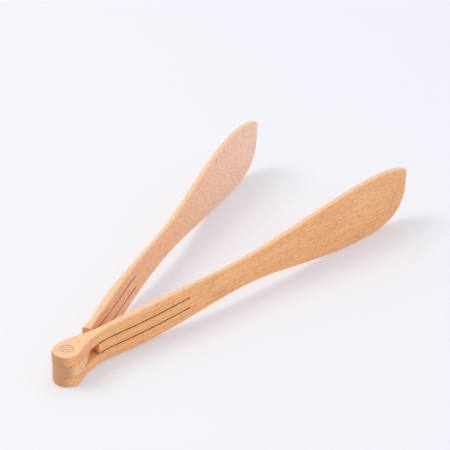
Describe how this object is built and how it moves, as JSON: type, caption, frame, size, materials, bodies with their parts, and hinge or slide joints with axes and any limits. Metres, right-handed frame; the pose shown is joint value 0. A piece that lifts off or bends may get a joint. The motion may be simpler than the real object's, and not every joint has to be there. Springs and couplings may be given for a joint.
{
  "type": "print tongs",
  "caption": "Wooden spring tongs with broad flat paddle jaws, two sawn arms crossing at a round dowel hinge and held open by their own springy tongues.",
  "frame": {"origin": "on the hinge axis, at the underside of the head", "axes": "+Z along the hinge dowel, +X midway between the released jaws, fork arm on the -Y side and tang arm on the +Y side"},
  "size_m": [0.2964, 0.1206, 0.0423],
  "materials": {
    "beech": "sanded and lightly oiled steamed beech",
    "dowel": "sanded end grain of a beech dowel"
  },
  "bodies": {
    "fork_arm": {"fork_arm": "beech", "hinge_dowel": "dowel"},
    "tang_arm": {"tang_arm": "beech"},
    "centre_tongue": {"centre_tongue": "beech"},
    "upper_tongue": {"upper_tongue": "beech"},
    "lower_tongue": {"lower_tongue": "beech"}
  },
  "joints": [
    {"name": "squeeze", "type": "hinge", "parent": "fork_arm", "child": "tang_arm", "pos_m": [0, 0, 0], "axis": [0, 0, -1], "range_deg": [0, 21.6], "stiffness_Nm_per_rad": 1.2},
    {"name": "centre_tongue_bend", "type": "hinge", "parent": "fork_arm", "child": "centre_tongue", "pos_m": [0.08811, -0.01922, 0], "axis": [0, 0, 1], "range_deg": [0, 7.56]},
    {"name": "upper_tongue_bend", "type": "hinge", "parent": "tang_arm", "child": "upper_tongue", "pos_m": [0.08811, 0.01922, 0], "axis": [0, 0, -1], "range_deg": [0, 7.56]},
    {"name": "lower_tongue_bend", "type": "hinge", "parent": "tang_arm", "child": "lower_tongue", "pos_m": [0.08811, 0.01922, 0], "axis": [0, 0, -1], "range_deg": [0, 7.56]}
  ],
  "couplings": [
    {"joint": "centre_tongue_bend", "follows": "squeeze", "ratio": 0.336},
    {"joint": "upper_tongue_bend", "follows": "squeeze", "ratio": 0.336},
    {"joint": "lower_tongue_bend", "follows": "squeeze", "ratio": 0.336}
  ]
}
